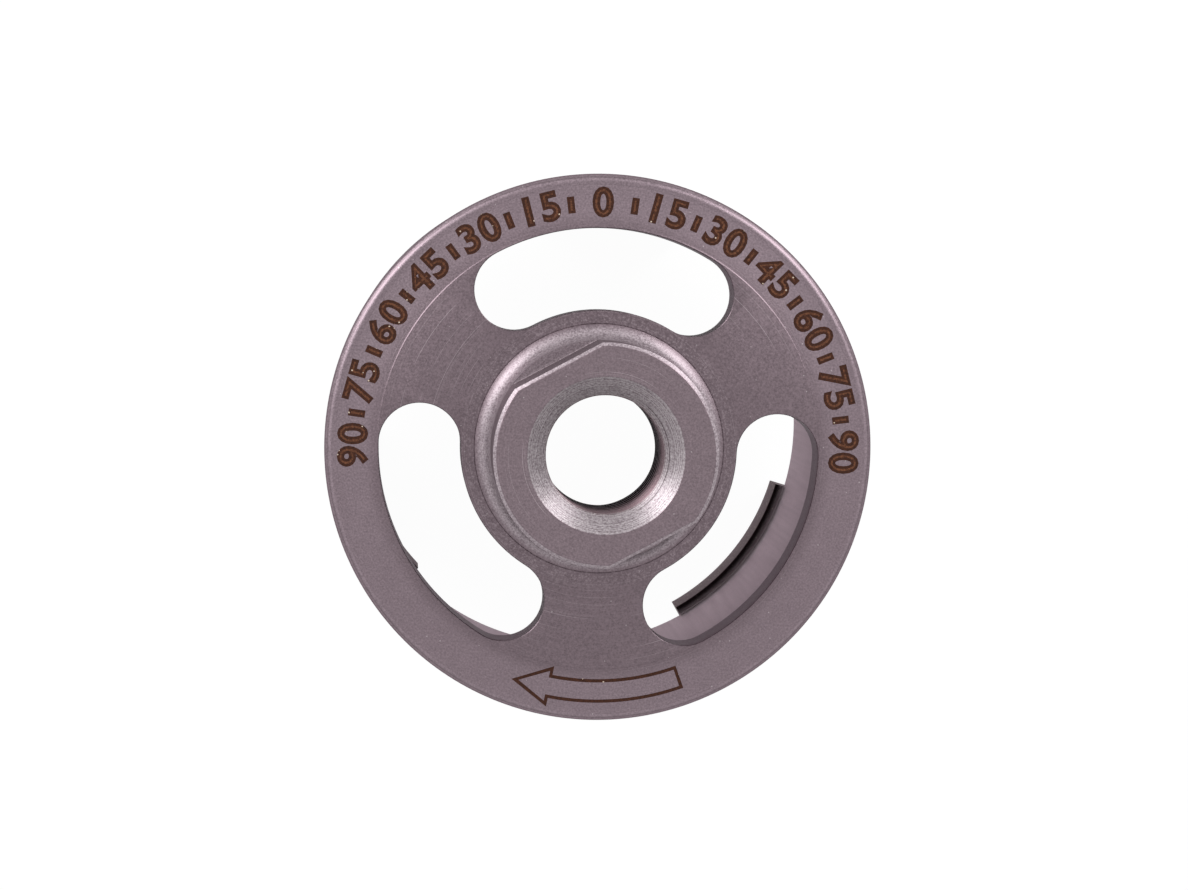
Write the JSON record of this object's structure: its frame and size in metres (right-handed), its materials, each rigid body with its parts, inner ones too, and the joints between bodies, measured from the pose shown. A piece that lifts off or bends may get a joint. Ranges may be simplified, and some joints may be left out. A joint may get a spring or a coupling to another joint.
{
  "type": "diamond core bit",
  "caption": "Short dry-cut diamond core bit: steel barrel with diamond segments on its rim, and a windowed back flange with a threaded hub and spanner flats.",
  "frame": {"origin": "on the bit's axis, at the level of the cutting edge it stands on", "axes": "+Z along the axis, from the cutting edge to the threaded hub; +Y through the middle of one window"},
  "size_m": [0.0675, 0.0675, 0.0852],
  "materials": {
    "flange_steel": "satin, fine turned and blasted",
    "barrel_steel": "satin, drawn tube",
    "diamond_matrix": "sintered metal with fine grit"
  },
  "bodies": {
    "root": {"back_flange": "flange_steel", "barrel": "barrel_steel", "diamond_segment_1": "diamond_matrix", "diamond_segment_2": "diamond_matrix", "diamond_segment_3": "diamond_matrix"}
  },
  "joints": []
}
